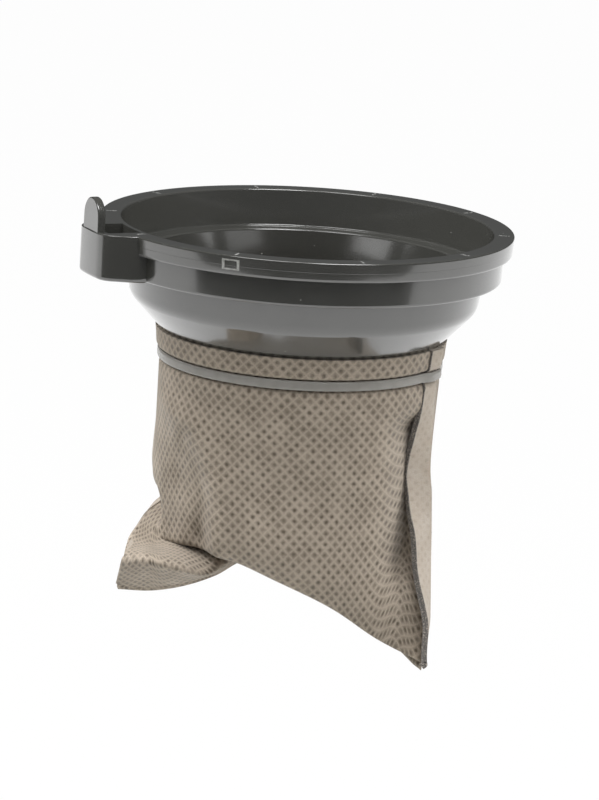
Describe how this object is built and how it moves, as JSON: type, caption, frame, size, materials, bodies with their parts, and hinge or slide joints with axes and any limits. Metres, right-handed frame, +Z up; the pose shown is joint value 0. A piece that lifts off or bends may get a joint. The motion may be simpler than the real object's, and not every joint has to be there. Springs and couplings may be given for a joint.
{
  "type": "vacuum filter",
  "caption": "Round stepped vacuum filter: a moulded funnel ring with a side lug carries a soft nonwoven cloth bag held on its neck by an elastic band.",
  "frame": {"origin": "on the ring's axis, in the plane of the flange's underside, which seats on the rim of the dust container", "axes": "+Z up along the ring's axis, with the bag hanging below; -X points out along the side lug"},
  "size_m": [0.1134, 0.106, 0.1161],
  "materials": {
    "ring_plastic": "dark grey moulded plastic, smooth and fairly glossy",
    "band_elastic": "grey, slightly translucent elastic",
    "bag_cloth": "taupe spunbond cloth with a lattice of small pressed dots"
  },
  "bodies": {
    "root": {"filter_ring": "ring_plastic", "retaining_band": "band_elastic", "filter_bag": "bag_cloth"}
  },
  "joints": []
}
